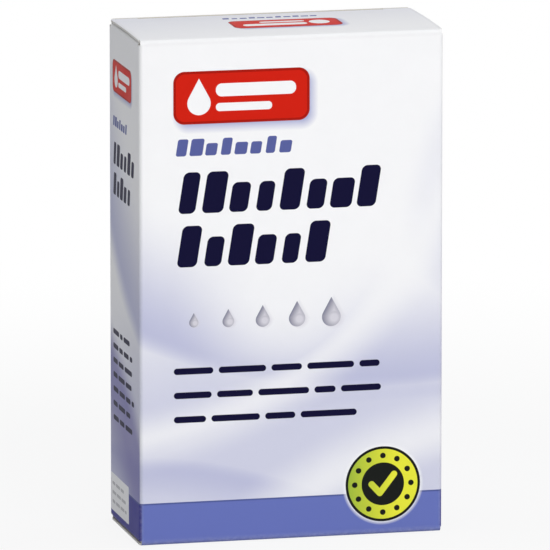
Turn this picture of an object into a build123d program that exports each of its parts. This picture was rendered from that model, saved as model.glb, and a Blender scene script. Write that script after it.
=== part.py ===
from build123d import *
from math import asin, cos, degrees, radians, sin
import os

# Tuck-end folding carton: a tube of coated board glued along one corner, with dust flaps on its
# sides and, at each end, a lid creased to the front panel, which ends in a tuck flap that slides
# in behind the back panel. Millimetres. X runs across the front, Y from front to back, Z up, and
# the origin is the middle of the base.

# Closed carton, outside
width = 76.0
depth = 34.0
height = 125.0

# Board and its creases
board = 0.5
fold_radius = 1.0  # outside radius of every creased fold
ply_gap = 0.1  # air between two plies that lie one on the other

# Glued corner, at the back on the left: the left side covers a flap creased to the back panel
glue_flap_width = 12.0
seam_setback = 0.2  # the left side's raw edge stops this far short of the fold behind it
glue_flap_setback = 3.0  # the flap stops this far short of each end at its crease
glue_flap_taper = 4.0  # and slopes away this much more by its free edge

# Relief cut at the corners of the panels, where three folds meet
relief_width = 2.0
relief_drop = 1.2
relief_depth = 1.4

# Lid
lid_side_setback = 0.5  # the lid's raw edge lies this far inside the carton's side
slit_length = 6.5  # slit lock cut in from each side along the tuck crease
ear_radius = 1.2  # rounded corner of the lid beside the slit

# Tuck flap
tuck_length = 14.0  # down from the top of the lid
tuck_gap = 0.4  # between the tuck flap and the back panel, at the crease
tuck_side_gap = 0.7  # between the tuck flap's edge and the glued flap
tuck_taper = 1.5
tuck_radius = 8.0

# Dust flaps
dust_length = 24.0
dust_front_setback = 1.6
dust_front_taper = 1.2
dust_shoulder = 2.0  # cut-back on the tuck side, at 45 degrees from the crease
dust_shoulder_gap = 0.8  # from the tuck flap to where that shoulder starts
dust_back_taper = 1.6
dust_radius = 3.5

passing = 1.0  # how far a cutting profile runs past the board

# Worked out from the sizes above
half_width = width / 2
half_depth = depth / 2
half_board = board / 2
crease_radius = fold_radius - half_board  # middle of the board round a fold
inner_back_y = half_depth - board
glue_face_x = half_width - 2 * board  # inner face of the glued flap, mirrored to +X
flap_edge_y = inner_back_y - glue_flap_width  # free edge of the glued flap
seam_edge_y = half_depth - fold_radius - seam_setback  # raw edge of the left side

lid_fold_y = -half_depth + fold_radius  # centre line of the fold between front panel and lid
lid_fold_z = height - fold_radius
lid_half_crease = half_width - relief_width
lid_half_width = half_width - lid_side_setback

tuck_face_y = inner_back_y - tuck_gap  # outer face of the tuck flap
tuck_fold_y = tuck_face_y - fold_radius
tuck_half_crease = lid_half_width - slit_length
tuck_half_width = glue_face_x - tuck_side_gap

dust_top_z = height - board - ply_gap
dust_fold_x = half_width - fold_radius
dust_fold_z = dust_top_z - fold_radius
dust_tip_x = half_width - dust_length
dust_front_y = -half_depth + dust_front_setback
dust_back_y = tuck_face_y - board - dust_shoulder_gap

middle = Plane.XY.offset(height / 2)

# The lid turns about its crease line, on the outside of the board halfway round the fold. The
# tuck flap leans in as a chord of the circle that it swings on, so it slides out past the back
# panel without pressing on it.
crease_y = lid_fold_y - fold_radius * cos(radians(45))
crease_z = lid_fold_z + fold_radius * sin(radians(45))
tuck_swing = tuck_face_y - crease_y
tuck_lean = degrees(asin(tuck_length / (2 * tuck_swing)))
lean_sin = sin(radians(tuck_lean))
lean_cos = cos(radians(tuck_lean))
tuck_plane = Plane(
    origin=(0, tuck_fold_y + fold_radius * lean_cos, lid_fold_z - fold_radius * lean_sin),
    x_dir=(1, 0, 0),
    z_dir=(0, -lean_cos, lean_sin),
)
# Along the tuck flap, from where its fold ends: up to its shoulders and down to its tip
shoulder_up = (dust_top_z - tuck_plane.origin.Z - board * lean_sin) / lean_cos
tip_down = (tuck_plane.origin.Z - height + tuck_length) / lean_cos

print(f"lid crease y {crease_y:.4f} z {crease_z:.4f}, tuck lean {tuck_lean:.3f} degrees")
tuck_tip_y = tuck_plane.origin.Y - tip_down * lean_sin - board
print(f"room inside x {glue_face_x:.2f} y {tuck_tip_y:.2f} z {dust_top_z - board:.2f}")

os.makedirs("parts", exist_ok=True)

# Dust flap on the right at the top: a fold along the side's edge and a flat flap with a straight
# front edge, a 45 degree shoulder on the tuck side and rounded free corners.
with BuildPart() as dust_flap:
    with BuildSketch(Plane.XZ.offset(-dust_back_y)):
        with BuildLine():
            CenterArc((dust_fold_x, dust_fold_z), crease_radius, 0, 90)
        trace(line_width=board)
    extrude(amount=dust_back_y - dust_front_y)
    with BuildSketch(Plane.XY.offset(dust_top_z - board)):
        with BuildLine():
            Polyline(
                (dust_fold_x, dust_front_y),
                (dust_tip_x, dust_front_y + dust_front_taper),
                (dust_tip_x, dust_back_y - dust_shoulder - dust_back_taper),
                (dust_fold_x - dust_shoulder, dust_back_y - dust_shoulder),
                (dust_fold_x, dust_back_y),
                close=True,
            )
        flap_face = make_face()
        fillet(flap_face.vertices().group_by(Axis.X)[0], radius=dust_radius)
    extrude(amount=board)

# Carton body: the upper half of the tube with its dust flaps, then the same below.
with BuildPart() as carton_body:
    with BuildSketch(middle):
        with BuildLine():
            FilletPolyline(
                (-half_width + half_board, seam_edge_y),
                (-half_width + half_board, -half_depth + half_board),
                (half_width - half_board, -half_depth + half_board),
                (half_width - half_board, half_depth - half_board),
                (-half_width + board + half_board, half_depth - half_board),
                (-half_width + board + half_board, seam_edge_y - board),
                radius=crease_radius,
            )
        trace(line_width=board)
        with Locations((-half_width + half_board, flap_edge_y)):
            Rectangle(3 * half_board, seam_edge_y - flap_edge_y, align=Align.MIN)
    extrude(amount=height / 2)

    # Both sides end where their dust flaps fold over
    with BuildSketch(Plane.XY.offset(dust_fold_z)):
        with Locations((-dust_fold_x - passing, 0), (dust_fold_x + passing, 0)):
            Rectangle(2 * passing, depth + 2 * passing)
    extrude(amount=height, mode=Mode.SUBTRACT)

    # Sloping relief at the corners of the front and back panels
    relief_slope = relief_drop / relief_width
    for y in (-half_depth - passing, half_depth + passing):
        with BuildSketch(Plane.XZ.offset(-y)) as relief:
            with BuildLine():
                Polyline(
                    (lid_half_crease, height + passing),
                    (lid_half_crease, lid_fold_z),
                    (half_width + passing, lid_fold_z - relief_slope * (relief_width + passing)),
                    (half_width + passing, height + passing),
                    close=True,
                )
            make_face()
            mirror(about=Plane.YZ)
        inward = relief_depth + passing if y > 0 else -relief_depth - passing
        extrude(amount=inward, mode=Mode.SUBTRACT)

    # The glued flap is cut short of the end, with a slope towards its free edge
    with BuildSketch(Plane.YZ.offset(-half_width + board)):
        with BuildLine():
            Polyline(
                (half_depth - fold_radius, height),
                (half_depth - fold_radius, height - glue_flap_setback),
                (flap_edge_y - passing, height - glue_flap_setback - glue_flap_taper),
                (flap_edge_y - passing, height),
                close=True,
            )
        make_face()
    extrude(amount=board, mode=Mode.SUBTRACT)

    # The front panel ends halfway round its fold with the lid
    with BuildSketch(Plane.YZ.offset(-half_width)):
        with Locations((-half_depth - passing, lid_fold_z)):
            Rectangle(fold_radius + passing, fold_radius + passing, align=Align.MIN)
    extrude(amount=width, mode=Mode.SUBTRACT)
    with BuildSketch(Plane.YZ.offset(-lid_half_crease)):
        with BuildLine():
            CenterArc((lid_fold_y, lid_fold_z), crease_radius, 180, -45)
        trace(line_width=board)
    extrude(amount=2 * lid_half_crease)

    add(dust_flap.part)
    mirror(dust_flap.part, about=Plane.YZ)
    mirror(about=middle)

carton_body.part.label = "carton_body"
export_step(carton_body.part, "parts/carton_body.step")

# Top lid: a flat panel from the front fold to the tuck crease, and the tuck flap beyond it. Slits
# beside that crease leave an ear at each corner, which lies flat over the tuck flap's shoulder.
# The tuck flap's sides draw in a little to large rounded corners.
with BuildPart() as top_lid:
    with BuildSketch(Plane.XY.offset(height - board)):
        with BuildLine():
            Polyline(
                (0, lid_fold_y),
                (lid_half_crease, lid_fold_y),
                (lid_half_width, lid_fold_y + lid_half_width - lid_half_crease),
                (lid_half_width, tuck_face_y),
                (tuck_half_crease, tuck_face_y),
                (tuck_half_crease, tuck_fold_y),
                (0, tuck_fold_y),
            )
            mirror(about=Plane.YZ)
        lid_face = make_face()
        ears = lid_face.vertices().group_by(Axis.X)
        fillet(ears[0].sort_by(Axis.Y)[-1:] + ears[-1].sort_by(Axis.Y)[-1:], radius=ear_radius)
    extrude(amount=board)
    with BuildSketch(Plane.YZ.offset(-lid_half_crease)):
        with BuildLine():
            CenterArc((lid_fold_y, lid_fold_z), crease_radius, 135, -45)
        trace(line_width=board)
    extrude(amount=2 * lid_half_crease)
    with BuildSketch(Plane.YZ.offset(-tuck_half_crease)):
        with BuildLine():
            CenterArc((tuck_fold_y, lid_fold_z), crease_radius, 90, -90 - tuck_lean)
        trace(line_width=board)
    extrude(amount=2 * tuck_half_crease)
    with BuildSketch(tuck_plane):
        with BuildLine():
            Polyline(
                (0, 0),
                (tuck_half_crease, 0),
                (tuck_half_crease, shoulder_up),
                (tuck_half_width, shoulder_up),
                (tuck_half_width - tuck_taper, -tip_down),
                (0, -tip_down),
            )
            mirror(about=Plane.YZ)
        tuck_face = make_face()
        tip = tuck_face.vertices().group_by(Axis.Y)[0].sort_by(Axis.X)
        fillet(tip[:1] + tip[-1:], radius=tuck_radius)
    extrude(amount=board)

top_lid.part.label = "top_lid"
export_step(top_lid.part, "parts/top_lid.step")

# The lower end closes in the same way, hinged to the same panel.
with BuildPart() as bottom_lid:
    mirror(top_lid.part, about=middle)

bottom_lid.part.label = "bottom_lid"
export_step(bottom_lid.part, "parts/bottom_lid.step")
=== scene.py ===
from math import cos, pi, radians, sin

import bmesh
import bpy
import numpy as np
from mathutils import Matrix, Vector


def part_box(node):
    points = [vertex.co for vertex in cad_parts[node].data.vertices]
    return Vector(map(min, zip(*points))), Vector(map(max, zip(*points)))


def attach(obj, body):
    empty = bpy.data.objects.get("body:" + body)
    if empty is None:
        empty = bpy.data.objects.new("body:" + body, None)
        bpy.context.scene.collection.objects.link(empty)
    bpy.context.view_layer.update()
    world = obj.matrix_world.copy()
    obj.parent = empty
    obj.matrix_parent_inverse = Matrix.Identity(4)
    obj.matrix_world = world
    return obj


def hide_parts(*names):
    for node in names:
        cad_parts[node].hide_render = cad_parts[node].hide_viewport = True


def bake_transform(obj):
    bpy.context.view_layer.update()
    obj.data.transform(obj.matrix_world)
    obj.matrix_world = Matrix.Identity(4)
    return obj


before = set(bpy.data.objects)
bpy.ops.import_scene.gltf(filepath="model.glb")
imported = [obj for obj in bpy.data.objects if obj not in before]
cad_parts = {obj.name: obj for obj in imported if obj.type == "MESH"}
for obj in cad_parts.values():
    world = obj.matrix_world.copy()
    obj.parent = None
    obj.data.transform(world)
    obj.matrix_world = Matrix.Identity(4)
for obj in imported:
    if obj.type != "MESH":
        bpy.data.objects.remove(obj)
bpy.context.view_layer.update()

# Lengths in the code are millimetres: X across the front, Y from front to back, Z up. Meshes are
# scaled to metres when they are made. The map "flat_sheet" on every piece holds its place on the
# unfolded sheet, in millimetres: u runs round the carton from the middle of the front panel, v up
# from the base and on over the lid. All the print and the grain of the board follow that map.

bl_info = {
    "name": "Tuck-end folding carton",
    "version": (1, 0, 0),
    "blender": (4, 5, 0),
    "location": "View3D > Sidebar > Carton",
    "description": "Dresses a folding carton: folded board with printed, plain and cut faces",
    "category": "Object",
}

MM = 0.001
SHEET_MAP = "flat_sheet"

HALF_WIDTH, HALF_DEPTH, HEIGHT = np.array(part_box("carton_body")[1]) / MM

# Where the folds and cuts of the panels and flaps run
RELIEF_X = 37.6  # the lid's crease ends here, and the corner relief starts
RELIEF_SLOPE = 0.6  # fall of the relief cut, outwards
RELIEF_Y = 15.6  # a side reaches up to its dust flap's fold within this
DUST_FOLD_Z = 123.4
DUST_Y = (-15.4, 14.8)
DUST_SHOULDER = 2.0
DUST_BACK_TIP = 11.2  # back edge of a dust flap at its tip
DUST_FRONT_TAPER = 1.2  # how far its front edge draws in by the tip
DUST_RADIUS = 3.5
DUST_SAG = 0.4  # how far its tip hangs below its fold
SEAM_Y = 15.8  # raw edge of the left side, over the glued flap
GLUE_GAP = 0.02  # between the left side and the glued flap
GLUE_FLAP_Y = 4.5  # free edge of the glued flap
GLUE_FLAP_END = (122.0, 118.0)  # its top, at the back panel and at the free edge
LID_FOLD_Y = -16.0
LID_FOLD_Z = 124.0
LID_HALF_WIDTH = 37.85
TUCK_FOLD_Y = 15.1
TUCK_CREASE_X = 31.0  # the slits beside the tuck crease end here
TUCK_HALF_WIDTH = 36.3
TUCK_TAPER = 1.5
TUCK_RADIUS = 8.0
TUCK_LEAN = radians(12.32)
TUCK_SHOULDER = 0.518  # from the end of the fold up beside a slit
TUCK_DOWN = 13.088  # from the end of the fold down to the tip
EAR_Y = 16.1  # back edge of the ears
EAR_RADIUS = 1.2
STRIP_FLAT = 0.3  # the crease strips run this far onto the flat board at each end

# Grids
STEP = 0.01  # half the width of the column in which a cut steps up or down
MERGE = 0.002  # points this close are one
FRONT_POINTS = 25  # across the front, the back and a crease strip
SIDE_POINTS = 17  # across a side and its dust flaps
TUBE_POINTS = 41  # up the tube
FOLD_POINTS = 9  # round a fold of the tube or of a dust flap
LID_FOLD_POINTS = 13  # round a fold of a lid

# Lid and tuck flap: columns between the slits, shares of the way from there to the side for those
# outside, and rows along the lid, closer together by its crease
TUCK_COLUMNS = np.linspace(-TUCK_CREASE_X, TUCK_CREASE_X, 23)
OUTER_COLUMNS = np.array((1 / 3, 2 / 3, 1))
LID_ROWS = (-15.1, -14.5, *np.linspace(-13.5, 14.5, 23))

# Shares of the panel bulge that each flat run of the tube takes, and how far from the ends it stops
RUN_BULGE = {0: 0.7, 2: 1.0, 4: 0.7, 6: 0.8}
BULGE_END = 2.0

# Places on the flat sheet
FRONT_FOLD_U = 37.785  # middle of the fold between the front and a side
SIDE_U = 54.57  # middle of a side
BACK_FOLD_U = 71.356  # middle of the fold between a side and the back
BACK_U = 109.14  # middle of the back
END_FOLDS = 62.0  # folds of the lids and dust flaps, from the middle of the height
TUCK_FOLDS = 95.06  # folds of the tuck flaps, from the middle of the height
BAND_TOP = 10.5  # upper edge of the printed band round the base
INK_EDGE = 0.06  # width over which ink ends


def linear(red, green, blue):
    """Linear colour of an sRGB colour given as 0 to 255."""
    part = np.array((red, green, blue)) / 255
    return tuple(np.where(part <= 0.04045, part / 12.92, ((part + 0.055) / 1.055) ** 2.4))


def length_setting(name, description, size):
    """A setting that holds a length in metres."""
    return bpy.props.FloatProperty(name=name, description=description, default=size, unit="LENGTH")


def colour_setting(name, description, *shade):
    """A setting that holds a colour, given as an sRGB colour of 0 to 255."""
    return bpy.props.FloatVectorProperty(
        name=name, description=description, default=linear(*shade), subtype="COLOR"
    )


class CartonSizes(bpy.types.PropertyGroup):
    """Sizes of the board and how far the panels have settled out of flat."""

    board: length_setting("Board", "Thickness of the board", 0.0005)
    fold_radius: length_setting("Fold radius", "Outside radius of every fold", 0.001)
    dust_length: length_setting("Dust flap", "Length of a dust flap", 0.024)
    panel_bulge: length_setting("Panel bulge", "How far the panels bow outwards", 0.0003)
    lid_lift: length_setting("Lid lift", "How far the top lid bows up", 0.00055)


class PrintColours(bpy.types.PropertyGroup):
    """Inks of the print, and the plain faces of the board."""

    # Paper is also the pale that a fold takes, partly as painted highlight
    paper: colour_setting("Paper", "Coated face", 240, 240, 241)
    # Lavender also gives the lid its painted shade
    lavender: colour_setting("Lavender", "Soft sweeps", 156, 160, 201)
    violet: colour_setting("Violet", "Sweep on the sides", 108, 104, 166)
    band: colour_setting("Band", "Band round the base", 101, 113, 180)
    side_band: colour_setting("Side band", "Band on the sides", 46, 42, 132)
    red: colour_setting("Red", "Block at the top", 203, 30, 14)
    navy: colour_setting("Navy", "Heavy and thin bars", 14, 12, 48)
    slate: colour_setting("Slate", "Lighter bars", 86, 94, 152)
    drop: colour_setting("Drop", "Row of drops", 128, 128, 146)
    shine: colour_setting("Shine", "Shine on a drop", 208, 206, 214)
    badge: colour_setting("Badge", "Round badge", 226, 226, 62)
    badge_left: colour_setting("Badge left", "Round badge at its left", 150, 178, 62)
    badge_dark: colour_setting("Badge dark", "Its rim and middle", 24, 26, 24)
    stamp: colour_setting("Stamp", "Bars on the bare patch", 128, 126, 134)
    inside: colour_setting("Inside", "Uncoated face", 214, 209, 198)
    edge: colour_setting("Edge", "Cut edge", 206, 202, 195)
    edge_light: colour_setting("Edge, light", "Fibres of the cut edge", 240, 239, 236)


class StageSettings(bpy.types.PropertyGroup):
    """Where the camera stands, how it is turned, and its lens."""

    lens: bpy.props.FloatProperty(
        name="Lens", description="Focal length", default=666.8, unit="CAMERA"
    )
    camera_place: bpy.props.FloatVectorProperty(
        name="Camera place",
        description="Where the camera stands",
        default=(-0.5665, -2.38826, 0.5331),
        unit="LENGTH",
    )
    camera_turn: bpy.props.FloatVectorProperty(
        name="Camera turn",
        description="Rotation of the camera",
        default=(radians(90 - 10.852), 0, radians(-13.341)),
        unit="ROTATION",
    )


# Shapes


class FoldedLine:
    """A line of straight runs that turn left by a right angle at each corner, with rounded corners.

    At length s along it a point is the run's start plus s times its direction, or on a corner the
    arc's centre plus the radius times the cosine and sine of its first angle plus s / radius.
    """

    def __init__(self, corners, radius):
        corners = np.array(corners, float)
        runs = np.diff(corners, axis=0)
        along = runs / np.linalg.norm(runs, axis=1)[:, None]
        begin, end = corners[:-1].copy(), corners[1:].copy()
        begin[1:] += radius * along[1:]
        end[:-1] -= radius * along[:-1]
        count = 2 * len(runs) - 1
        self.radius = radius
        self.origin, self.along = np.zeros((count, 2)), np.zeros((count, 2))
        self.angle = np.zeros(count)
        self.origin[::2], self.along[::2] = begin, along
        self.origin[1::2] = end[:-1] + radius * along[1:]
        self.angle[1::2] = np.arctan2(-along[1:, 1], -along[1:, 0])
        lengths = np.full(count, radius * pi / 2)
        lengths[::2] = np.linalg.norm(end - begin, axis=1)
        self.starts = np.concatenate(([0], np.cumsum(lengths)))

    def at(self, s):
        """Points and outward normals at the lengths s."""
        part = np.clip(np.searchsorted(self.starts, s, "right") - 1, 0, len(self.angle) - 1)
        rest = s - self.starts[part]
        turned = self.angle[part] + rest / self.radius
        round_normal = np.stack([np.cos(turned), np.sin(turned)], -1)
        flat_normal = np.stack([self.along[part, 1], -self.along[part, 0]], -1)
        bent = (part % 2 == 1)[:, None]
        normal = np.where(bent, round_normal, flat_normal)
        offset = np.where(bent, self.radius * normal, rest[:, None] * self.along[part])
        return self.origin[part] + offset, normal


def rounded_off(beyond, radius):
    """How far an edge draws in on a rounded corner, at the length beyond the start of its arc:
    radius - sqrt(radius^2 - beyond^2)."""
    return radius - np.sqrt(np.maximum(radius**2 - np.maximum(beyond, 0) ** 2, 0))


def patch(x, y, z, u, v):
    """A grid of points with its place on the flat sheet; every array is spread over the same grid."""
    x, y, z, u, v = np.broadcast_arrays(x, y, z, u, v)
    return np.stack([x, y, z], -1), np.stack([u, v], -1)


def mirrored(sheet, axis):
    """The same patch on the other side (axis 0) or at the other end (axis 2). The columns are put in
    the opposite order, so its faces still point outwards."""
    points, places = sheet[0][:, ::-1].copy(), sheet[1][:, ::-1].copy()
    if axis == 0:
        points[..., 0] *= -1
        places[..., 0] *= -1
    else:
        points[..., 2] = HEIGHT - points[..., 2]
        places[..., 1] = HEIGHT - places[..., 1]
    return points, places


def carton_line(sizes):
    """Outer line of the tube seen from above, from the left side's raw edge round to the glued flap,
    and the length at which it passes the middle of the front panel."""
    radius = sizes.fold_radius / MM
    flap_x = -HALF_WIDTH + sizes.board / MM + GLUE_GAP
    corners = [
        (-HALF_WIDTH, SEAM_Y),
        (-HALF_WIDTH, -HALF_DEPTH),
        (HALF_WIDTH, -HALF_DEPTH),
        (HALF_WIDTH, HALF_DEPTH),
        (flap_x, HALF_DEPTH),
        (flap_x, GLUE_FLAP_Y),
    ]
    line = FoldedLine(corners, radius)
    return line, line.starts[2] + HALF_WIDTH - radius


def tube_sheet(sizes):
    """The tube's outer face. Columns follow the folded line; rows run from each column's lower end to
    its upper end, which is its panel's fold, raw edge or relief cut. A panel bows outwards by
    bulge * (1 - q^2)^2 * (1 - w^2)^2, where q and w run from -1 to 1 across and up the panel."""
    radius = sizes.fold_radius / MM
    line, front = carton_line(sizes)
    start = line.starts
    side, back = start[4] + HALF_DEPTH - radius, start[6] + HALF_WIDTH - radius
    relief_y = np.array((RELIEF_Y - STEP, RELIEF_Y + STEP))
    side_y = np.concatenate((-relief_y[::-1], np.linspace(*DUST_Y, SIDE_POINTS), relief_y))
    inner_x = np.linspace(-RELIEF_X + STEP, RELIEF_X - STEP, FRONT_POINTS)
    flat_x = np.concatenate(([-RELIEF_X - STEP], inner_x, [RELIEF_X + STEP]))
    folds = [np.linspace(start[part], start[part + 1], FOLD_POINTS) for part in (1, 3, 5, 7)]
    flap = np.linspace(start[8], start[9], 8)
    columns = ([0], SEAM_Y - side_y, front + flat_x, side + side_y, back + flat_x, flap, *folds)
    columns = np.unique(np.concatenate(columns).round(6))
    (x, y), (out_x, out_y) = (pair.T for pair in line.at(columns))

    on_left, on_front, on_back = columns < start[1], columns < start[4], columns > start[5]
    on_side = (on_left | ~(on_front | on_back)) & (np.abs(y) < RELIEF_Y)
    on_crease = np.abs(x) < RELIEF_X
    on_flap = columns > start[8]
    flap_end = np.interp(y, (GLUE_FLAP_Y - 1, HALF_DEPTH - radius), GLUE_FLAP_END[::-1])
    top = np.select(
        [on_flap, on_side, on_back & on_crease, on_front & on_crease],
        [flap_end, DUST_FOLD_Z, HEIGHT, LID_FOLD_Z - STRIP_FLAT],
        LID_FOLD_Z - RELIEF_SLOPE * (np.abs(x) - RELIEF_X),
    )
    share = np.linspace(0, 1, TUBE_POINTS)[:, None]
    z = (HEIGHT - top) + share * (2 * top - HEIGHT)

    bulge = np.zeros_like(z)
    up = np.clip((z - HEIGHT / 2) / (HEIGHT / 2 - BULGE_END), -1, 1)
    for part, amount in RUN_BULGE.items():
        middle, half = (start[part] + start[part + 1]) / 2, (start[part + 1] - start[part]) / 2
        across = np.clip((columns - middle) / half, -1, 1)
        bulge += amount * sizes.panel_bulge / MM * (1 - across**2) ** 2 * (1 - up**2) ** 2
    return patch(x + out_x * bulge, y + out_y * bulge, z, columns - front, z)


def dust_flap_sheets(sizes):
    """Dust flap on the right at the top. It turns through a quarter circle over the side's edge, then
    lies flat; its front and back edges draw in linearly, with a 45 degree shoulder at the back, and
    circular arcs round its free corners. It sags by the square of the way along it."""
    radius = sizes.fold_radius / MM
    line, front = carton_line(sizes)
    y = np.linspace(*DUST_Y, SIDE_POINTS)[None]
    u = line.starts[4] + HALF_DEPTH - radius - front + y
    angle = np.linspace(0, pi / 2, FOLD_POINTS)[:, None]
    fold_x = HALF_WIDTH - radius
    x, z = fold_x + radius * np.cos(angle), DUST_FOLD_Z + radius * np.sin(angle)
    fold = patch(x, y, z, u, DUST_FOLD_Z + radius * angle)

    reach = sizes.dust_length / MM - radius
    straight = np.linspace(DUST_SHOULDER, reach - DUST_RADIUS, 8)
    rounded = reach - DUST_RADIUS + DUST_RADIUS * np.sin(np.linspace(0, pi / 2, 9)[1:])
    along = np.concatenate(([0], straight, rounded))[:, None]
    corner = rounded_off(along - reach + DUST_RADIUS, DUST_RADIUS)
    front_y = DUST_Y[0] + DUST_FRONT_TAPER * along / reach + corner
    back_ends = (DUST_Y[1], DUST_Y[1] - DUST_SHOULDER, DUST_BACK_TIP)
    back_y = np.interp(along, (0, DUST_SHOULDER, reach), back_ends) - corner
    across = (y - DUST_Y[0]) / (DUST_Y[1] - DUST_Y[0])
    z = DUST_FOLD_Z + radius - DUST_SAG * (along / reach) ** 2
    v = DUST_FOLD_Z + radius * pi / 2 + along
    return [fold, patch(fold_x - along, front_y + across * (back_y - front_y), z, u, v)]


def strip_sheet(sizes):
    """The board round the fold between the front panel and the top lid: a short flat run, a quarter
    circle and another flat run."""
    radius = sizes.fold_radius / MM
    angle = np.linspace(pi, pi / 2, LID_FOLD_POINTS)
    below, arc_end = LID_FOLD_Z - STRIP_FLAT, LID_FOLD_Z + radius * pi / 2
    fold_y = LID_FOLD_Y + radius * np.cos(angle)
    fold_z = LID_FOLD_Z + radius * np.sin(angle)
    y = np.concatenate(([LID_FOLD_Y - radius], fold_y, [LID_FOLD_Y + STRIP_FLAT]))
    z = np.concatenate(([below], fold_z, [LID_FOLD_Z + radius]))
    v = np.concatenate(([below], LID_FOLD_Z + radius * (pi - angle), [arc_end + STRIP_FLAT]))
    x = np.linspace(-1, 1, FRONT_POINTS)[None] * RELIEF_X
    return patch(x, y[:, None], z[:, None], x, v[:, None])


def lid_sheets(sizes, lift):
    """Top lid's flat panel. It bows up between its creases by
    lift * 4 * q * (1 - q) * (1 - 0.6 * (x / half width)^4), where q runs from 0 at its crease to 1 at
    the tuck crease. An ear stands beside each slit, and draws in by a circular arc."""
    start_y = LID_FOLD_Y + STRIP_FLAT
    v_lid = LID_FOLD_Z + sizes.fold_radius / MM * pi / 2 - LID_FOLD_Y
    ear_centre = EAR_Y - EAR_RADIUS

    def beyond_slit(y):
        return LID_HALF_WIDTH - rounded_off(y - ear_centre, EAR_RADIUS) - TUCK_CREASE_X

    y = np.array((start_y, *LID_ROWS, ear_centre, TUCK_FOLD_Y))[:, None]
    inner = np.broadcast_to(TUCK_COLUMNS, (len(y), len(TUCK_COLUMNS)))
    outer = TUCK_CREASE_X + OUTER_COLUMNS * beyond_slit(y)
    x = np.concatenate([-outer[:, ::-1], inner, outer], 1)
    way = np.clip((y - start_y) / (TUCK_FOLD_Y - start_y), 0, 1)
    bow = lift / MM * 4 * way * (1 - way) * (1 - 0.6 * (x / LID_HALF_WIDTH) ** 4)
    panel = patch(x, y, HEIGHT + bow, x, v_lid + y)

    first = np.arcsin((TUCK_FOLD_Y - ear_centre) / EAR_RADIUS)
    y = (ear_centre + EAR_RADIUS * np.sin(np.linspace(first, pi / 2, 8)))[:, None]
    x = TUCK_CREASE_X + np.array((0, *OUTER_COLUMNS)) * beyond_slit(y)
    ear = patch(x, y, HEIGHT, x, v_lid + y)
    return [panel, ear, mirrored(ear, 0)]


def tuck_flap_sheets(sizes):
    """Fold at the back of the top lid and the tuck flap below it. The fold is an arc, and the flap
    leans in from its end. The flap's half width draws in linearly and then by a circular arc to its
    tip, and a shoulder stands up beside each slit."""
    radius = sizes.fold_radius / MM
    v_fold = LID_FOLD_Z + radius * pi / 2 - LID_FOLD_Y + TUCK_FOLD_Y
    v_flap = v_fold + radius * (pi / 2 + TUCK_LEAN)
    top_y = TUCK_FOLD_Y + radius * cos(TUCK_LEAN)
    top_z = LID_FOLD_Z - radius * sin(TUCK_LEAN)

    def half_width(down):
        corner = rounded_off(down - TUCK_DOWN + TUCK_RADIUS, TUCK_RADIUS)
        way = (down + TUCK_SHOULDER) / (TUCK_DOWN + TUCK_SHOULDER)
        return TUCK_HALF_WIDTH - TUCK_TAPER * way - corner

    def leaning(x, down):
        y, z = top_y - down * sin(TUCK_LEAN), top_z - down * cos(TUCK_LEAN)
        return patch(x, y, z, x, v_flap + down)

    angle = np.linspace(pi / 2, -TUCK_LEAN, LID_FOLD_POINTS)[:, None]
    y, z = TUCK_FOLD_Y + radius * np.cos(angle), LID_FOLD_Z + radius * np.sin(angle)
    fold = patch(TUCK_COLUMNS, y, z, TUCK_COLUMNS, v_fold + radius * (pi / 2 - angle))

    arc = TUCK_DOWN - TUCK_RADIUS * (1 - np.sin(np.linspace(0, pi / 2, 11)[1:]))
    down = np.concatenate((np.linspace(0, TUCK_DOWN - TUCK_RADIUS, 4), arc))[:, None]
    side = TUCK_CREASE_X + OUTER_COLUMNS * (half_width(0) - TUCK_CREASE_X)
    first = np.concatenate((-side[::-1], TUCK_COLUMNS, side))
    flap = leaning(first * half_width(down) / half_width(0), down)

    down = np.linspace(-TUCK_SHOULDER, 0, 3)[:, None]
    shares = np.array((0, *OUTER_COLUMNS))
    shoulder = leaning(TUCK_CREASE_X + shares * (half_width(down) - TUCK_CREASE_X), down)
    return [fold, flap, shoulder, mirrored(shoulder, 0)]


# Meshes


def panel_of(places):
    """Number of the printed panel, in the order of PRINTS, at each place on the flat sheet. A print
    ends near the middle of its panel's folds."""
    u, v = places.T
    tube_end, lid_end = HEIGHT + 0.3, HEIGHT + 32.5
    front_end, side_end = 38.2, 71.0
    on_tube = np.abs(v - HEIGHT / 2) < tube_end - HEIGHT / 2
    on_front = on_tube & (np.abs(u) < front_end)
    on_lid = (np.abs(u) < LID_HALF_WIDTH + 0.1) & (v > tube_end) & (v < lid_end)
    kinds = [on_front, on_tube & (u < 0), on_tube & (u < side_end), on_tube, on_lid]
    return np.select(kinds, range(len(kinds)), len(kinds))


def sheet_mesh(name, sheets):
    """One mesh from patches: quads between neighbouring points of each grid, with shared borders
    merged, and each quad's material set to its place in the list of panels that is given back."""
    points = np.concatenate([sheet[0].reshape(-1, 3) for sheet in sheets]) * MM
    places = np.concatenate([sheet[1].reshape(-1, 2) for sheet in sheets])
    quads, first = [], 0
    for grid, _ in sheets:
        rows, columns = grid.shape[:2]
        index = first + np.arange(rows * columns).reshape(rows, columns)
        corners = (index[:-1, :-1], index[:-1, 1:], index[1:, 1:], index[1:, :-1])
        quads.append(np.stack(corners, -1).reshape(-1, 4))
        first += rows * columns
    quads = np.concatenate(quads)
    mesh = bpy.data.meshes.new(name)
    mesh.from_pydata(points, [], quads)
    sheet_map = mesh.uv_layers.new(name=SHEET_MAP)
    sheet_map.uv.foreach_set("vector", places[quads.ravel()].astype(np.float32).ravel())
    panels = panel_of(places[quads].mean(1))
    used = np.unique(panels)
    mesh.polygons.foreach_set("material_index", np.searchsorted(used, panels).astype(np.int32))
    joined = bmesh.new()
    joined.from_mesh(mesh)
    bmesh.ops.remove_doubles(joined, verts=joined.verts, dist=MERGE * MM)
    joined.to_mesh(mesh)
    joined.free()
    return mesh, used


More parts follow.
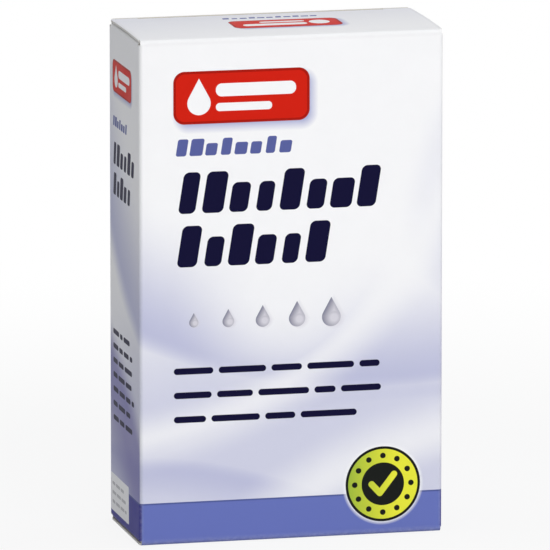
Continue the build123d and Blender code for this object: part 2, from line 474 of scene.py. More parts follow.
def board_piece(name, sheets, board, scene):
    """One object from patches of the outer face, with the board's thickness added inwards. An outer
    face keeps its panel's print. Solidify moves the inner faces and the cut edge on by one and two
    times the number of prints, and they end up on the last two materials."""
    mesh, used = sheet_mesh(name, sheets)
    piece = bpy.data.objects.new(name, mesh)
    scene.collection.objects.link(piece)
    prints = [board_material(scene, PRINTS[k][0]) for k in used]
    plain = [board_material(scene, kind) for kind in ("board inside", "board edge")]
    count = len(prints)
    for material in (*prints, *plain[:1] * count, *plain[1:] * count):
        mesh.materials.append(material)
    thicken = piece.modifiers.new("board", "SOLIDIFY")
    thicken.thickness = board
    thicken.offset = -1
    thicken.use_even_offset = True
    thicken.use_quality_normals = True
    thicken.material_offset = count
    thicken.material_offset_rim = 2 * count
    bpy.context.view_layer.update()
    evaluated = piece.evaluated_get(bpy.context.evaluated_depsgraph_get())
    finished = bpy.data.meshes.new_from_object(evaluated)
    piece.modifiers.clear()
    piece.data = finished
    bpy.data.meshes.remove(mesh)
    finished.name = name
    kinds = np.zeros(len(finished.polygons), np.int32)
    finished.polygons.foreach_get("material_index", kinds)
    kinds = np.where(kinds < count, kinds, count + kinds // count - 1)
    finished.materials.clear()
    for material in (*prints, *plain):
        finished.materials.append(material)
    finished.polygons.foreach_set("material_index", kinds.astype(np.int32))
    finished.set_sharp_from_angle(angle=radians(40))
    return piece


# Node wiring


class Term:
    """One output of a node. Arithmetic with it, and abs, add Math nodes to the same tree."""

    def __init__(self, wiring, socket):
        self.wiring, self.socket = wiring, socket

    def __add__(self, other):
        return self.wiring.math("ADD", self, other)

    def __sub__(self, other):
        return self.wiring.math("SUBTRACT", self, other)

    def __rsub__(self, other):
        return self.wiring.math("SUBTRACT", other, self)

    def __mul__(self, other):
        return self.wiring.math("MULTIPLY", self, other)

    def __truediv__(self, other):
        return self.wiring.math("DIVIDE", self, other)

    def __abs__(self):
        return self.wiring.math("ABSOLUTE", self)


class Wiring:
    """Adds nodes to one tree. An input is a number, a colour, a vector, a socket or a term."""

    def __init__(self, tree):
        self.tree = tree

    def join(self, socket, value):
        if isinstance(value, Term):
            value = value.socket
        if isinstance(value, bpy.types.NodeSocket):
            self.tree.links.new(value, socket)
        elif socket.type == "RGBA" and len(value) == 3:
            socket.default_value = (*value, 1)
        else:
            socket.default_value = value

    def add(self, kind, inputs, out=0, **settings):
        node = self.tree.nodes.new("ShaderNode" + kind)
        for name, value in settings.items():
            setattr(node, name, value)
        for name, value in inputs.items():
            self.join(node.inputs[name], value)
        return Term(self, node.outputs[out])

    def use(self, group, *values):
        """Places a group with its inputs in their order, and gives its outputs by name."""
        node = self.tree.nodes.new("ShaderNodeGroup")
        node.node_tree = group
        for socket, value in zip(node.inputs, values):
            self.join(socket, value)
        return {socket.name: Term(self, socket) for socket in node.outputs}

    def give(self, kind="Float", **values):
        """Makes an output of this group for each value, and gives the finished group."""
        for name in values:
            self.tree.interface.new_socket(name=name, in_out="OUTPUT", socket_type="NodeSocket" + kind)
        result = self.tree.nodes.new("NodeGroupOutput").inputs
        for name, value in values.items():
            self.join(result[name], value)
        return self.tree

    def math(self, operation, *values, clamp=False):
        return self.add("Math", dict(enumerate(values)), operation=operation, use_clamp=clamp)

    def lower(self, first, second):
        return self.math("MINIMUM", first, second)

    def higher(self, first, second):
        return self.math("MAXIMUM", first, second)

    def vector(self, operation, *values):
        return self.add("VectorMath", dict(enumerate(values)), operation=operation)

    def measure(self, operation, *values):
        """The number that a vector operation gives, such as a length."""
        return self.add("VectorMath", dict(enumerate(values)), "Value", operation=operation)

    def point(self, x, y):
        return self.add("CombineXYZ", {0: x, 1: y})

    def parts(self, vector):
        node = self.tree.nodes.new("ShaderNodeSeparateXYZ")
        self.join(node.inputs[0], vector)
        return Term(self, node.outputs[0]), Term(self, node.outputs[1])

    def grey(self, value):
        return self.add("CombineColor", {0: value, 1: value, 2: value})

    def mix(self, share, below, above, kind="MIX"):
        inputs = {0: share, 6: below, 7: above}
        return self.add("Mix", inputs, 2, data_type="RGBA", blend_type=kind)

    def ramp(self, value, low=0, high=1, kind="SMOOTHSTEP"):
        """0 at low, 1 at high."""
        inputs = {"Value": value, "From Min": low, "From Max": high}
        return self.add("MapRange", inputs, interpolation_type=kind)

    def noise(self, place, scale, detail, roughness=0.5, distortion=0):
        values = {"Vector": place, "Scale": scale, "Detail": detail}
        return self.add("TexNoise", {**values, "Roughness": roughness, "Distortion": distortion})

    def chance(self, x, y):
        """A number from 0 to 1 that is fixed for each pair of whole numbers."""
        return self.add("TexWhiteNoise", {"Vector": self.point(x, y)}, "Value", noise_dimensions="2D")

    def edge(self, distance, soft):
        """1 inside, 0 outside, over the width soft."""
        return self.math("SUBTRACT", 0.5, distance / soft, clamp=True)

    def counted(self, number, count):
        """1 where a whole number is from 0 up to the count less one."""
        from_first = self.math("GREATER_THAN", number, -0.5)
        return from_first * self.math("LESS_THAN", number, count - 0.5)

    def rounded_box(self, x, y, half_x, half_y, corner):
        """Distance from a box round the origin with rounded corners, below 0 inside it."""
        over_x, over_y = abs(x) - half_x + corner, abs(y) - half_y + corner
        outside = self.point(self.higher(over_x, 0), self.higher(over_y, 0))
        inside = self.lower(self.higher(over_x, over_y), 0)
        return self.measure("LENGTH", outside) + inside - corner

    def greatest(self, values):
        """Highest of all values, taken in pairs."""
        while len(values) > 1:
            pairs = [self.higher(*values[k : k + 2]) for k in range(0, len(values) - 1, 2)]
            values = pairs + values[2 * len(pairs) :]
        return values[0]

    def looked_at(self):
        """1 where the camera, a reflection or a view through glass ends."""
        path = self.tree.nodes.new("ShaderNodeLightPath").outputs
        kinds = ("Camera", "Glossy", "Transmission")
        return self.greatest([Term(self, path[f"Is {kind} Ray"]) for kind in kinds])


def new_group(name, vectors, numbers=(), colours=()):
    """Wiring of a new shader node group, and its inputs: the colours, vectors and numbers of these
    names, in that order."""
    w = Wiring(bpy.data.node_groups.new(name, "ShaderNodeTree"))
    for kind, labels in (("Color", colours), ("Vector", vectors), ("Float", numbers)):
        for label in labels:
            w.tree.interface.new_socket(name=label, in_out="INPUT", socket_type="NodeSocket" + kind)
    given = w.tree.nodes.new("NodeGroupInput").outputs
    return w, [Term(w, given[label]) for label in (*colours, *vectors, *numbers)]


def block_group():
    """Mask of a rounded rectangle."""
    vectors, numbers = ("Vector", "Centre", "Half size"), ("Corner", "Soft")
    w, (place, centre, half_size, corner, soft) = new_group("Rounded block", vectors, numbers)
    x, y = w.parts(w.vector("SUBTRACT", place, centre))
    half_x, half_y = w.parts(half_size)
    return w.give(Mask=w.edge(w.rounded_box(x, y, half_x, half_y, corner), soft))


def title_group():
    """Mask of a row of leaning blocks, in place of a line of large print. The block in each cell, one
    Pitch wide, takes its width and its height from the fractional parts of two multiples of the
    cell's number, so that heights mix like those of capitals and small letters."""
    numbers = ("Height", "Pitch", "Count", "Seed")
    w, (place, start, height, pitch, count, seed) = new_group("Title row", ("Vector", "Corner"), numbers)
    lean, rounding, tall_share = 0.16, 0.13, 0.6
    wide_step, tall_step, seed_step = 0.618, 0.382, 1.7
    narrow, low, more = 0.31, 0.36, 0.14  # half sizes, as shares of Pitch and Height
    x, y = w.parts(w.vector("SUBTRACT", place, start))
    x = x - y * lean
    cell = w.math("FLOOR", x / pitch)
    x = x - (cell + 0.5) * pitch
    wide = w.math("FRACT", cell * wide_step + seed)
    tall = w.math("FRACT", cell * tall_step + seed * seed_step)
    half_x = pitch * (wide * more + narrow)
    full = w.higher(w.math("GREATER_THAN", tall, tall_share), w.math("LESS_THAN", cell, 0.5))
    half_y = height * (full * more + low)
    distance = w.rounded_box(x, y - half_y, half_x, half_y, height * rounding)
    return w.give(Mask=w.edge(distance, INK_EDGE) * w.counted(cell, count))


def drop_group():
    """Mask of a drop: a disc of the given radius and the two lines from its sides to a point 2.1
    radii above its centre."""
    w, (place, centre, radius, soft) = new_group("Drop", ("Vector", "Centre"), ("Radius", "Soft"))
    tip = 2.1
    rise = 1 / tip
    across = (1 - rise**2) ** 0.5
    offset = w.vector("SUBTRACT", place, centre)
    x, y = w.parts(offset)
    disc = w.measure("LENGTH", offset) - radius
    slope = abs(x) * across + y * rise - radius
    return w.give(Mask=w.edge(w.lower(disc, w.higher(slope, radius * rise - y)), soft))


def stroke_group():
    """Mask of a line from one point to another with round ends."""
    vectors, numbers = ("Vector", "From", "To"), ("Half width", "Soft")
    w, (place, start, end, half_width, soft) = new_group("Stroke", vectors, numbers)
    along = w.vector("SUBTRACT", end, start)
    offset = w.vector("SUBTRACT", place, start)
    reached, full = w.measure("DOT_PRODUCT", offset, along), w.measure("DOT_PRODUCT", along, along)
    share = w.math("DIVIDE", reached, full, clamp=True)
    nearest = w.add("VectorMath", {0: along, "Scale": share}, operation="SCALE")
    distance = w.measure("LENGTH", w.vector("SUBTRACT", offset, nearest)) - half_width
    return w.give(Mask=w.edge(distance, soft))


def sweep_group():
    """Mask of a curved sweep: the ring between two circles round one centre, each edge as soft as
    its own width says."""
    numbers = ("Inner", "Inner soft", "Outer", "Outer soft", "Strength")
    w, (place, centre, *edges, strength) = new_group("Sweep", ("Vector", "Centre"), numbers)
    inner, inner_soft, outer, outer_soft = edges
    distance = w.measure("DISTANCE", place, centre)
    rise = w.ramp((distance - inner) / inner_soft)
    fall = w.ramp((outer - distance) / outer_soft)
    return w.give(Mask=rise * fall * strength)


def bars_group():
    """Mask of rows of thin round-ended bars, in place of lines of print. Each row is broken by gaps
    about one Pitch apart, moved and the row's end drawn in by chance."""
    numbers = ("Width", "Rows", "Line", "Thick", "Pitch", "Seed")
    w, (place, corner, width, rows, *sizes, seed) = new_group("Bar rows", ("Vector", "Corner"), numbers)
    line, thick, pitch = sizes
    gap_drift, gap_half, last_gap, far = 0.55, 0.42, 0.35, 100
    end_drift, end_number, soft = 0.22, 91, 0.08
    x, up = w.parts(w.vector("SUBTRACT", place, corner))
    down = up * -1
    row = w.math("FLOOR", down / line)
    from_middle = down - (row + 0.5) * line
    gap = w.higher(w.math("ROUND", x / pitch), 1)
    salt = row + seed
    drift, end = w.chance(gap, salt), w.chance(end_number, salt)
    gap_x = (gap + (drift - 0.5) * gap_drift) * pitch
    half = thick * 0.5
    right = width * (1 - end * end_drift)
    too_late = w.math("GREATER_THAN", gap_x, right - pitch * last_gap)
    from_gap = abs(x - gap_x) - thick * gap_half + too_late * far
    clear = w.lower(w.lower(from_gap, x), right - x)
    short = w.higher(half - clear, 0)
    distance = w.measure("LENGTH", w.point(short, from_middle)) - half
    return w.give(Mask=w.edge(distance, soft) * w.counted(row, rows))


def face_group():
    """Paper's surface from its place on the flat sheet. Drifting formation clouds and short fibres
    give Tone, which multiplies the colour, Gloss, which adds to the roughness, and Height, which
    feeds a bump. Height has a groove on each side of a fold, where the board is scored. Tone is a
    little darker on the fold, as painted shade that dims the fold's highlight. Wear marks each fold,
    patchily where its ink has rubbed thin and evenly along it; where it makes a coloured fold pale,
    it is partly painted highlight."""
    w, (place, grain, depth) = new_group("Paper face", ("Vector",), ("Grain", "Depth"))
    # The fourth number is painted shade: how much darker the colour is on a fold
    score, score_width, score_depth, painted_fold_shade = 1.1, 0.5, 2.5, 0.08
    worn_from, worn_to, least_wear_and_highlight = 0.4, 0.66, 0.4
    clouds = w.noise(place, scale=0.16, detail=3, roughness=0.55)
    fibres = w.noise(place, grain, detail=4, roughness=0.65, distortion=1.5)
    u, v = w.parts(place)
    from_middle = abs(v - HEIGHT / 2)
    grooves, lines = [], []
    along_u = ((abs(u), FRONT_FOLD_U, 0.9), (abs(u), BACK_FOLD_U, 0.9))
    for value, fold, width in (*along_u, (from_middle, END_FOLDS, 1.2), (from_middle, TUCK_FOLDS, 1.0)):
        away = abs(value - fold)
        grooves.append(w.edge(abs(away - score), score_width))
        lines.append(w.edge(away - width / 2, width))
    folded = w.greatest(lines)
    tone = (clouds - 0.5) * depth + (fibres - 0.5) * depth + 1
    # On a fold: patchy wear where ink has rubbed thin, over an even floor that is painted highlight
    # where it lightens a coloured fold
    rubbed = w.ramp(w.noise(place, scale=0.9, detail=5, roughness=0.7), worn_from, worn_to)
    return w.give(
        Tone=tone * (1 - folded * painted_fold_shade),
        Gloss=clouds - 0.5,
        Height=fibres * 0.7 + clouds * 0.3 - w.greatest(grooves) * score_depth,
        Wear=folded * (rubbed * (1 - least_wear_and_highlight) + least_wear_and_highlight),
    )


# Print


class Artwork:
    """Lays ink over a colour, one layer after another, at places on the flat sheet."""

    def __init__(self, wiring, shapes, place, colour):
        self.w, self.shapes, self.place, self.colour = wiring, shapes, place, colour

    def ink(self, colour, *masks, strength=None):
        cover = self.w.greatest(list(masks))
        if strength is not None:
            cover = cover * strength
        self.colour = self.w.mix(cover, self.colour, colour)

    def shape(self, kind, *values):
        """Mask of one shape; the values are the inputs of its group after Vector."""
        return self.w.use(self.shapes[kind], self.place, *values)["Mask"]

    def block(self, x, y, width, height, corner, soft=INK_EDGE):
        return self.shape("block", (x, y, 0), (width / 2, height / 2, 0), corner, soft)

    def disc(self, x, y, radius, soft=INK_EDGE):
        return self.block(x, y, 2 * radius, 2 * radius, radius, soft)

    def drop(self, x, y, radius, soft=INK_EDGE):
        return self.shape("drop", (x, y, 0), radius, soft)

    def stroke(self, start, end, half_width):
        return self.shape("stroke", (*start, 0), (*end, 0), half_width, INK_EDGE)

    def word(self, left, base, height, pitch, count, seed):
        return self.shape("title", (left, base, 0), height, pitch, count, seed)

    def bars(self, left, top, width, rows, line, thick, pitch, seed):
        return self.shape("bars", (left, top, 0), width, rows, line, thick, pitch, seed)

    def sweep(self, x, y, inner, inner_soft, outer, outer_soft, strength):
        return self.shape("sweep", (x, y, 0), inner, inner_soft, outer, outer_soft, strength)


def art_group(name, shapes, draw, colours):
    """A group that takes the colour below and gives it back with one panel's artwork on it."""
    w, (colour, place) = new_group(name, ("Vector",), colours=("Color",))
    art = Artwork(w, shapes, place, colour)
    draw(art, colours)
    return w.give("Color", Color=art.colour)


def deepened(colour, share):
    """The colour brought down to this share of its light."""
    return tuple(share * part for part in colour)


def draw_background(art, ink):
    """Soft sweeps over the lower half of every panel, and the band round the base, deeper on both
    sides. The back takes the sweeps in reverse order from its fold with the right side, at
    u' = fold - |u - fold|."""
    w, half_side, line_half = art.w, 17.0, 0.2
    u, v = w.parts(art.place)
    art.place = w.point(BACK_FOLD_U - abs(u - BACK_FOLD_U), v)
    art.ink(
        ink.lavender,
        art.sweep(4, -180, -1, 1, 254, 40, 0.52),
        art.sweep(22, 170, 100, 34, 139, 9, 0.74),
        art.sweep(-46, -110, 106, 26, 139, 10, 0.74),
        art.sweep(96, 76, 38, 16, 70, 16, 0.36),
        art.sweep(30, -150, 168, 22, 196, 12, 0.66),
    )
    art.ink(
        ink.paper,
        art.sweep(-50, 122, 88, 9, 106, 11, 0.78),
        art.sweep(-2, 62, -40, 1, 30, 26, 0.85),
        art.sweep(60, -80, 98, 9, 119, 12, 0.72),
    )
    over = v - BAND_TOP
    band = w.edge(over, INK_EDGE)
    art.ink(ink.band, band)
    on_sides = 1 - w.edge(half_side - abs(abs(u) - SIDE_U), 0.3)
    art.ink(ink.side_band, w.lower(band, on_sides), strength=0.95)
    line = w.edge(abs(over + line_half) - line_half, INK_EDGE)
    art.ink(deepened(ink.band, 0.55), line, strength=0.8)


def draw_block(art, ink, x, y, scale, turned=1):
    """Red block with a white drop and two white bars; turned is -1 where it stands on its head."""
    width, height, rim = 34 * scale, 13 * scale, 1.3 * scale
    shadow = art.block(x + 0.9 * scale, y - 1.1 * scale, width, height, 3 * scale, 2.6 * scale)
    art.ink(ink.lavender, shadow, strength=0.9)
    art.ink(deepened(ink.red, 0.62), art.block(x, y, width, height, 2.8 * scale))
    art.ink(ink.red, art.block(x, y, width - rim, height - rim, 2.2 * scale))
    if turned > 0:
        drop = art.drop(x - 10.6 * scale, y - 1.4 * scale, 2.9 * scale)
    else:
        drop = art.disc(x + 10.6 * scale, y, 3.2 * scale)
    along = turned * scale
    long_bar = art.block(x + 3.6 * along, y + 1.7 * along, 20 * scale, 3.2 * scale, 1.5 * scale)
    short_bar = art.block(x + 0.6 * along, y - 2.5 * along, 14 * scale, 2 * scale, 0.95 * scale)
    art.ink(ink.paper, drop, long_bar, short_bar)


def draw_badge(art, ink, x, y, radius):
    """Round badge: dark rim, yellow-green ring with a circle of dots, dark disc with a check mark. A
    dot is drawn at the nearest twelfth of a turn."""
    w, dots = art.w, 12
    ring, dot_radius, half_stroke = 0.755 * radius, 0.075 * radius, 0.085 * radius
    art.ink(ink.paper, art.disc(x, y, radius + 0.5, 0.8), strength=0.7)
    art.ink(ink.badge_dark, art.disc(x, y, radius))
    lean = w.ramp(w.parts(art.place)[0], x - radius, x + 0.3 * radius, "LINEAR")
    yellow = w.mix(lean, ink.badge_left, ink.badge)
    art.ink(yellow, art.disc(x, y, 0.93 * radius))
    offset = w.vector("SUBTRACT", art.place, (x, y, 0))
    across, up = w.parts(offset)
    turn = w.math("ARCTAN2", up, across) * (dots / (2 * pi))
    turn = (turn - w.math("ROUND", turn)) * (2 * pi / dots)
    out = w.measure("LENGTH", offset)
    dot = w.measure("LENGTH", w.point(out - ring, out * turn)) - dot_radius
    art.ink(ink.badge_dark, w.edge(dot, INK_EDGE), art.disc(x, y, 0.57 * radius))
    check = np.array(((-0.3, 0), (-0.08, -0.24), (0.3, 0.25)))
    left, low, right = (x, y) + check * radius
    art.ink(yellow, art.stroke(left, low, half_stroke), art.stroke(low, right, half_stroke))


def draw_front(art, ink):
    """Block, three lines of leaning blocks, a row of growing drops, three rows of bars and a badge."""
    left, drops_y = -29.5, 55
    draw_block(art, ink, left + 17, 110.5, 1)
    art.ink(ink.slate, art.word(left, 96.2, 4.2, 3.7, 8, 0.3))
    heavy = art.word(left, 82, 10.2, 6.4, 8, 0.15), art.word(left, 68.8, 10.2, 6.4, 6, 0.55)
    art.ink(ink.navy, *heavy)
    for step in range(5):
        x, radius = left + 5 + 8.6 * step, 1.15 + 0.3 * step
        shine = art.drop(x + 0.3 * radius, drops_y - 0.1 * radius, 0.8 * radius, 0.9 * radius)
        art.ink(ink.drop, art.drop(x, drops_y, radius))
        art.ink(ink.shine, shine)
    art.ink(ink.navy, art.bars(left, 46, 57, 3, 6, 1.6, 11, 3))
    draw_badge(art, ink, 23, 12.6, 9.4)


def draw_side(art, ink, centre, patch_on):
    """A side panel: a violet sweep down to the band, the same motifs as on the front, narrower, and on
    one side the bare patch for a batch stamp."""
    w, left = art.w, centre - 12.5
    above_band = w.edge(BAND_TOP - w.parts(art.place)[1], INK_EDGE)
    art.ink(ink.violet, art.sweep(centre - 66, -75, 96, 24, 137, 10, 0.8), strength=above_band)
    draw_block(art, ink, left + 10.5, 112, 0.62)
    art.ink(ink.slate, art.word(left, 99.5, 2.5, 2.3, 7, 0.3))
    heavy = art.word(left, 90, 5.6, 4, 6, 0.15), art.word(left, 82.4, 5.6, 4, 5, 0.55)
    art.ink(ink.navy, *heavy, art.bars(left, 50, 24, 7, 3.6, 1.3, 6.4, 11))
    if patch_on:
        art.ink(ink.paper, art.block(centre - 5.6, 7.4, 20, 9.4, 0.5))
        stamp = art.bars(centre - 14, 10.8, 16, 3, 2.3, 0.8, 4.4, 5)
        art.ink(ink.stamp, stamp, strength=0.55)


def draw_back(art, ink):
    """A line of leaning blocks, a short heavy bar, and rows of bars above and below it."""
    left, width = BACK_U - 29, 58
    art.ink(ink.slate, art.word(left, 108, 4, 3.6, 11, 0.3))
    upper = art.bars(left, 103, width, 7, 3.7, 1.4, 7, 21)
    lower = art.bars(left, 66, width, 6, 3.7, 1.4, 7, 31)
    art.ink(ink.navy, upper, lower, art.block(left + 12, 71, 24, 2.2, 1))


def draw_lid(art, ink):
    """The block and a line of leaning blocks, on painted shade: lavender that deepens from the front
    fold to the back, and a little to the left, standing in for the lid's shading."""
    u, v = art.w.parts(art.place)
    # Painted shade: lavender deepening towards the back and left of the lid, standing in for its shading
    lid_painted_shade = art.w.ramp(v - u * 0.15, 126, 161, "LINEAR")
    art.ink(ink.lavender, lid_painted_shade, strength=0.2)
    draw_block(art, ink, 2, 139.5, 0.8, turned=-1)
    art.ink(ink.slate, art.word(-12, 148.2, 2.4, 2.2, 11, 0.4))


PRINTS = (
    ("front print", draw_front),
    ("left print", lambda art, ink: draw_side(art, ink, -SIDE_U, True)),
    ("right print", lambda art, ink: draw_side(art, ink, SIDE_U, False)),
    ("back print", draw_back),
    # The lid's print also holds its painted shade
    ("lid print", draw_lid),
    ("plain print", None),
)


# Materials


def new_material(name):
    """Wiring of a new material, and its Principled shader."""
    material = bpy.data.materials.new(name)
    material.use_nodes = True
    return Wiring(material.node_tree), material.node_tree.nodes["Principled BSDF"]


def finish_shader(w, shader, colour, rough, height, strength, distance):
    """Joins colour and roughness to the shader, and a bump as high as distance, in metres."""
    bump = w.add("Bump", {"Strength": strength, "Distance": distance, "Height": height})
    w.join(shader.inputs["Base Color"], colour)
    w.join(shader.inputs["Roughness"], rough)
    w.join(shader.inputs["Normal"], bump)


def printed_material(name, draw, ink, groups):
    """Coated and varnished outer face with the background and one panel's artwork."""
    w, shader = new_material(name)
    grain, depth, rough, gloss_drift, worn_rough, pale_wear_and_highlight = 2.6, 0.03, 0.46, 0.16, 0.12, 0.14
    place = w.add("UVMap", {}, uv_map=SHEET_MAP)
    face = w.use(groups["face"], place, grain, depth)
    colour = w.use(groups["background"], ink.paper, place)["Color"]
    if draw:
        colour = w.use(art_group(name, groups, draw, ink), colour, place)["Color"]
    # Tone holds the paper's own tone and the painted shade on the folds
    colour = w.mix(1, colour, w.grey(face["Tone"]), "MULTIPLY")
    # Painted highlight and wear: a fold goes part way to paper, patchily where ink has rubbed thin and
    # evenly as a light line along it
    colour = w.mix(face["Wear"] * pale_wear_and_highlight, colour, ink.paper)
    rough = face["Gloss"] * gloss_drift + rough + face["Wear"] * worn_rough
    finish_shader(w, shader, colour, rough, face["Height"], strength=0.25, distance=0.00002)
    shader.inputs["Specular IOR Level"].default_value = 0.04


def inside_material(ink, face_tree):
    """Uncoated inner face: warm grey, with coarser fibres."""
    w, shader = new_material("board inside")
    grain, depth, rough, gloss_drift = 1.3, 0.12, 0.86, 0.2
    place = w.add("UVMap", {}, uv_map=SHEET_MAP)
    face = w.use(face_tree, place, grain, depth)
    # Tone also darkens the folds a little here: painted shade
    colour = w.mix(1, ink.inside, w.grey(face["Tone"]), "MULTIPLY")
    rough = face["Gloss"] * gloss_drift + rough
    finish_shader(w, shader, colour, rough, face["Height"], strength=0.5, distance=0.00004)
    shader.inputs["Specular IOR Level"].default_value = 0.25


def edge_material(ink):
    """Cut edge of the board: pale core with fibres pulled out by the die."""
    w, shader = new_material("board edge")
    place = w.add("TexCoord", {}, "Object")
    fibres = w.noise(place, scale=3500, detail=3, roughness=0.6)
    drift = w.noise(place, scale=180, detail=2)
    colour = w.mix(fibres * 0.6 + drift * 0.4, ink.edge, ink.edge_light)
    finish_shader(w, shader, colour, drift * 0.15 + 0.8, fibres, strength=0.5, distance=0.00004)


def board_material(scene, name):
    """The finish of this name; all of them are made the first time that one is asked for."""
    if name not in bpy.data.materials:
        ink = scene.carton_colours
        groups = {
            "block": block_group(),
            "title": title_group(),
            "drop": drop_group(),
            "stroke": stroke_group(),
            "sweep": sweep_group(),
            "bars": bars_group(),
            "face": face_group(),
        }
        groups["background"] = art_group("background", groups, draw_background, ink)
        for label, draw in PRINTS:
            printed_material(label, draw, ink, groups)
        inside_material(ink, groups["face"])
        edge_material(ink)
    return bpy.data.materials[name]


# Stage

# Name, place in metres, size in metres, power in watts, colour
LAMPS = (
    ("key lamp", (0.25, -1.95, 0.72), 2.0, 32.6, (1, 0.995, 0.985)),
    ("top lamp", (0.25, -0.1, 1.8), 1.6, 9, (0.985, 0.99, 1)),
    ("left lamp", (-1.4, 1.2, 0.6), 1.4, 2.5, (1, 1, 1)),
    ("right lamp", (1.4, 1.3, 0.6), 1.4, 4, (1, 1, 1)),
)
LAMP_AIM = (0, 0, 0.06)

# In metres
FLOOR_RINGS = (0.02, 0.15, 0.5, 1.2, 4.0)
FLOOR_SIDES = 64
FLOOR_LEVEL = -0.00005
WHITE = (1, 1, 1)


def make_floor(scene):
    """A disc with its middle at the origin: rings of radius r, at r * cosine and r * sine. It keeps
    the carton's shadow near the middle and fades to white further out."""
    rings, turns = np.array(FLOOR_RINGS)[:, None], np.linspace(0, 2 * pi, FLOOR_SIDES + 1)[:-1]
    grid = np.broadcast_arrays(rings * np.cos(turns), rings * np.sin(turns), FLOOR_LEVEL)
    points = np.stack(grid, -1).reshape(-1, 3)
    index = np.arange(len(points)).reshape(len(FLOOR_RINGS), FLOOR_SIDES)
    beside = np.roll(index, -1, 1)
    quads = np.stack((index[:-1], index[1:], beside[1:], beside[:-1]), -1).reshape(-1, 4)
    mesh = bpy.data.meshes.new("floor")
    mesh.from_pydata(points, [], [*quads.tolist(), index[0].tolist()])
    floor = bpy.data.objects.new("floor", mesh)
    scene.collection.objects.link(floor)
    w, shader = new_material("studio floor")
    place = w.add("TexCoord", {}, "Object")
    grain = w.noise(place, scale=14, detail=4)
    w.join(shader.inputs["Base Color"], w.mix(grain, linear(196, 196, 197), linear(204, 204, 205)))
    shader.inputs["Roughness"].default_value = 0.9
    glow = w.add("Emission", {"Color": WHITE, "Strength": 1})
    fade_from, fade_to, least_white = 0.1, 0.35, 0.88
    way_out = w.ramp(w.measure("LENGTH", place), fade_from, fade_to)
    white_share = way_out * (1 - least_white) + least_white
    mixed = w.add("MixShader", {0: w.looked_at() * white_share, 1: shader.outputs[0], 2: glow})
    w.join(w.tree.nodes["Material Output"].inputs["Surface"], mixed)
    mesh.materials.append(bpy.data.materials["studio floor"])


def make_world(scene):
    """Soft even light, and white where the camera or a reflection sees it."""
    scene.world = bpy.data.worlds.new("studio")
    scene.world.use_nodes = True
    w = Wiring(scene.world.node_tree)
    soft = w.add("Background", {"Color": linear(244, 246, 250), "Strength": 0.4})
    white = w.add("Background", {"Color": WHITE, "Strength": 1})
    mixed = w.add("MixShader", {0: w.looked_at(), 1: soft, 2: white})
    w.join(w.tree.nodes["World Output"].inputs["Surface"], mixed)


def add_lamp(scene, name, place, size, power, colour):
    """A round soft lamp that shines towards the middle of the carton: tilted from straight down by
    the arc tangent of the distance across over the drop to it, and turned to its bearing."""
    lamp = bpy.data.lights.new(name, "AREA")
    lamp.shape, lamp.size, lamp.energy, lamp.color = "DISK", size, power, colour
    holder = bpy.data.objects.new(name, lamp)
    scene.collection.objects.link(holder)
    holder.visible_camera = False
    x, y, z = np.array(LAMP_AIM) - np.array(place)
    holder.location = place
    holder.rotation_euler = (np.arctan2(np.hypot(x, y), -z), 0, np.arctan2(y, x) - pi / 2)


def add_camera(scene, stage):
    lens = bpy.data.cameras.new("camera")
    lens.lens, lens.sensor_width = stage.lens, 36
    lens.clip_start, lens.clip_end = 0.1, 20
    camera = bpy.data.objects.new("camera", lens)
    scene.collection.objects.link(camera)
    camera.location, camera.rotation_euler = stage.camera_place, stage.camera_turn
    scene.camera = camera


# Operators


class CARTON_OT_body(bpy.types.Operator):
    """Make the glued tube with its four dust flaps"""

    bl_idname = "carton.body"
    bl_label = "Carton body"

    def execute(self, context):
        sizes = context.scene.carton_sizes
        sheets = [tube_sheet(sizes)]
        for flap in dust_flap_sheets(sizes):
            right = [flap, mirrored(flap, 2)]
            sheets += right + [mirrored(sheet, 0) for sheet in right]
        piece = board_piece("carton_shell", sheets, sizes.board, context.scene)
        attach(piece, "carton")
        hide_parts("carton_body")
        return {"FINISHED"}


class CARTON_OT_lids(bpy.types.Operator):
    """Make both lids with their ears and tuck flaps"""

    bl_idname = "carton.lids"
    bl_label = "Lids"

    def execute(self, context):
        sizes = context.scene.carton_sizes
        tuck = tuck_flap_sheets(sizes)
        top = lid_sheets(sizes, sizes.lid_lift) + tuck
        bottom = [mirrored(sheet, 2) for sheet in lid_sheets(sizes, 0) + tuck]
        for name, sheets in (("top_lid", top), ("bottom_lid", bottom)):
            piece = board_piece(name + "_shell", sheets, sizes.board, context.scene)
            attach(piece, name)
            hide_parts(name)
        return {"FINISHED"}


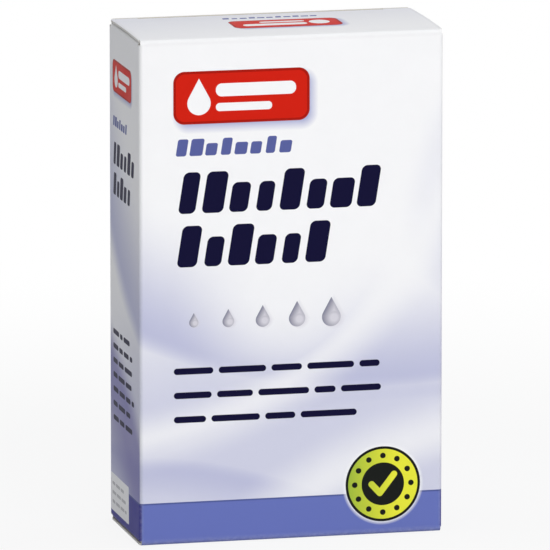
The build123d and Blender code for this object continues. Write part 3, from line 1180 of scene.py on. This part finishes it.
class CARTON_OT_creases(bpy.types.Operator):
    """Make the strips of board round the fold between the front panel and each lid"""

    bl_idname = "carton.creases"
    bl_label = "Lid creases"

    def execute(self, context):
        sizes = context.scene.carton_sizes
        radius = sizes.fold_radius / MM
        top = strip_sheet(sizes)
        on_panel = np.array((0, LID_FOLD_Y - radius, LID_FOLD_Z))
        on_lid = np.array((0, LID_FOLD_Y, LID_FOLD_Z + radius))
        for name, sheet, level, way in (("top", top, 0, 1), ("bottom", mirrored(top, 2), HEIGHT, -1)):
            piece = board_piece(name + "_crease", [sheet], sizes.board, context.scene)
            start, end = (((0, 0, level) + point * (1, 1, way)) * MM for point in (on_panel, on_lid))
            name + "_lid"
            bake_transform(piece)
        return {"FINISHED"}


class CARTON_OT_stage(bpy.types.Operator):
    """Make the floor, the world, the lamps and the camera"""

    bl_idname = "carton.stage"
    bl_label = "Stage"

    def execute(self, context):
        scene = context.scene
        scene.view_settings.view_transform = "Standard"
        make_floor(scene)
        make_world(scene)
        for lamp in LAMPS:
            add_lamp(scene, *lamp)
        add_camera(scene, scene.carton_stage)
        return {"FINISHED"}


class CARTON_PT_panel(bpy.types.Panel):
    """Lists the pieces of the carton"""

    bl_label = "Carton"
    bl_idname = "CARTON_PT_panel"
    bl_space_type = "VIEW_3D"
    bl_region_type = "UI"
    bl_category = "Carton"

    def draw(self, context):
        for operator in OPERATORS:
            self.layout.operator(operator.bl_idname)


OPERATORS = (CARTON_OT_body, CARTON_OT_lids, CARTON_OT_creases, CARTON_OT_stage)
SETTINGS = {"carton_sizes": CartonSizes, "carton_colours": PrintColours, "carton_stage": StageSettings}
CLASSES = (*SETTINGS.values(), *OPERATORS, CARTON_PT_panel)


def register():
    for item in CLASSES:
        bpy.utils.register_class(item)
    for name, group in SETTINGS.items():
        setattr(bpy.types.Scene, name, bpy.props.PointerProperty(type=group))


def unregister():
    for name in SETTINGS:
        delattr(bpy.types.Scene, name)
    for item in reversed(CLASSES):
        bpy.utils.unregister_class(item)


def main():
    register()
    bpy.ops.carton.body()
    bpy.ops.carton.lids()
    bpy.ops.carton.creases()
    bpy.ops.carton.stage()


if __name__ == "__main__":
    main()
